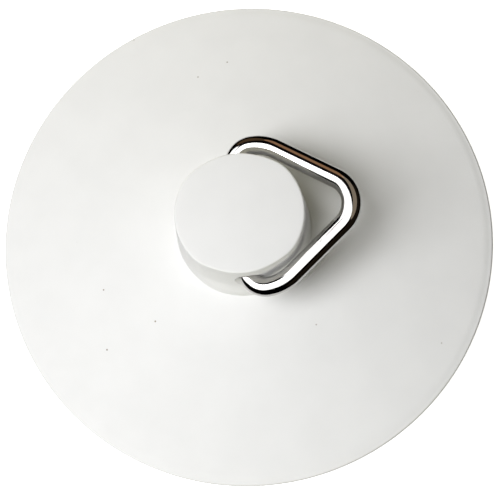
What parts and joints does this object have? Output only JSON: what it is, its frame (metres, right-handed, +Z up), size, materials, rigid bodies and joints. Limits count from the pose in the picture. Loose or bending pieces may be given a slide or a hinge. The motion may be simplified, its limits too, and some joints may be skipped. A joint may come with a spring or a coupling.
{
  "type": "sink plug",
  "caption": "Domed soft plug that stops a sink or bath waste, with a tapered skirt and a boss that carries a hinged triangular wire pull ring.",
  "frame": {"origin": "middle of the skirt's bottom face, on the plug's axis", "axes": "+Z up along the plug's axis, from the skirt to the boss; the ring's hinge axis runs along Y, and at rest the ring lies towards +X"},
  "size_m": [0.05, 0.05, 0.0231],
  "materials": {
    "white_rubber": "smooth moulded white, satin",
    "chromed_wire": "bright plated round wire"
  },
  "bodies": {
    "plug": {"plug_body": "white_rubber"},
    "ring": {"pull_ring": "chromed_wire"}
  },
  "joints": [
    {"name": "ring_swing", "type": "hinge", "parent": "plug", "child": "ring", "pos_m": [0, 0, 0.0201], "axis": [0, 1, 0], "range_deg": [-191, 32]}
  ]
}
